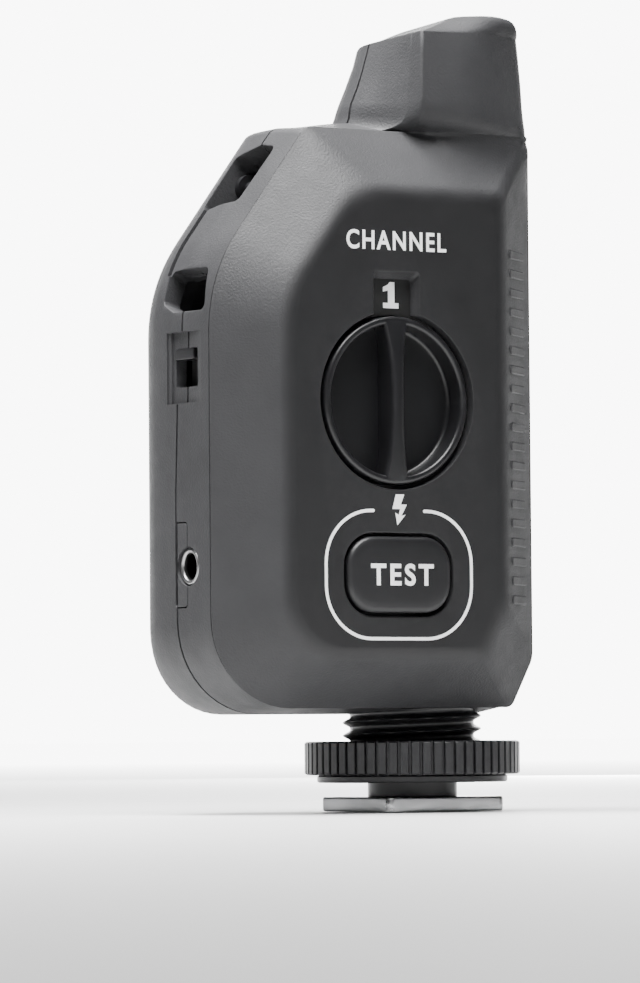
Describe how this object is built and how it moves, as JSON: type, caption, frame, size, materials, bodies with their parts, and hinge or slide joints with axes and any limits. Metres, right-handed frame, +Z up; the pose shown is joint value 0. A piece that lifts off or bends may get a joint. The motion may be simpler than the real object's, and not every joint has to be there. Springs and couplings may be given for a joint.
{
  "type": "wireless flash trigger",
  "caption": "Hand-size radio trigger with a rotary channel dial, test button, antenna stub and a shoe foot clamped by a knurled ring.",
  "frame": {"origin": "centre of the shoe foot's underside, on the axis of the threaded post", "axes": "+Z up along the threaded post, -Y out of the panel with the dial, +X to the right seen from the panel"},
  "size_m": [0.0518, 0.0335, 0.1082],
  "materials": {
    "shell": "fine spark-eroded texture, black",
    "dial_plastic": "semi-gloss black",
    "disc": "matt black with white numbers",
    "button": "satin black",
    "print": "white printed ink",
    "ring_plastic": "satin black moulded",
    "foot_metal": "brushed",
    "nickel": "nickel plated",
    "gold": "gold plated",
    "copper": "enamelled copper",
    "steel": "zinc plated steel",
    "black_steel": "black zinc steel",
    "board": "green solder mask",
    "chip": "moulded epoxy",
    "shield": "tin plated can",
    "capacitor": "dark blue sleeve",
    "switch_plastic": "black moulded",
    "cream_plastic": "natural nylon",
    "lamp": "red diffused",
    "cell": "printed sleeve",
    "insulator": "black"
  },
  "bodies": {
    "root": {"front_shell": "shell", "rear_shell": "shell", "jack_plate": "shell", "jack_barrel": "nickel", "jack_body": "switch_plastic", "usb_socket": "nickel", "main_board": "board", "radio_module": "shield", "controller_chip": "chip", "trigger_capacitors": "capacitor", "rotary_switch": "switch_plastic", "tact_switch": "switch_plastic", "status_lamp": "lamp", "panel_print": "print", "power_switch": "switch_plastic", "antenna_coil": "copper", "battery_tray": "switch_plastic", "battery_cell_left": "cell", "battery_cell_right": "cell", "battery_springs": "nickel", "battery_contacts": "nickel", "shell_screws": "black_steel", "board_screws": "steel", "threaded_post": "ring_plastic", "foot_plate": "foot_metal", "foot_screws": "steel", "pin_insulator": "insulator", "contact_spring": "steel"},
    "dial": {"channel_dial": "dial_plastic", "number_disc": "disc", "dial_shaft": "cream_plastic"},
    "button": {"test_button": "button", "tact_plunger": "cream_plastic"},
    "slider": {"power_slider": "dial_plastic"},
    "ring_carrier": {"clamp_washer": "ring_plastic"},
    "ring": {"lock_ring": "ring_plastic"},
    "pin": {"contact_pin": "gold"},
    "door": {"battery_door": "shell"}
  },
  "joints": [
    {"name": "dial_turn", "type": "hinge", "parent": "root", "child": "dial", "pos_m": [-0.0119, -0.0113, 0.0549], "axis": [0, 1, 0], "continuous": true},
    {"name": "test_press", "type": "slide", "parent": "root", "child": "button", "axis": [0, 1, 0], "range_m": [0, 0.0008], "stiffness_N_per_m": 1500, "springref_m": -0.0004},
    {"name": "power_slide", "type": "slide", "parent": "root", "child": "slider", "axis": [0, 0, -1], "range_m": [0, 0.0026]},
    {"name": "ring_spin", "type": "hinge", "parent": "ring_carrier", "child": "ring", "pos_m": [0, 0, 0.007], "axis": [0, 0, 1], "range_deg": [-360, 720]},
    {"name": "ring_travel", "type": "slide", "parent": "root", "child": "ring_carrier", "axis": [0, 0, 1], "range_m": [-0.0018, 0.0036]},
    {"name": "pin_press", "type": "slide", "parent": "root", "child": "pin", "axis": [0, 0, 1], "range_m": [0, 0.0005], "stiffness_N_per_m": 800, "springref_m": -0.0005, "deforming": ["contact_spring"]},
    {"name": "door_slide", "type": "slide", "parent": "root", "child": "door", "axis": [0, 0, -1], "range_m": [0, 0.062]}
  ],
  "couplings": [
    {"joint": "ring_travel", "follows": "ring_spin", "m_per_rad": 0.00027852}
  ]
}
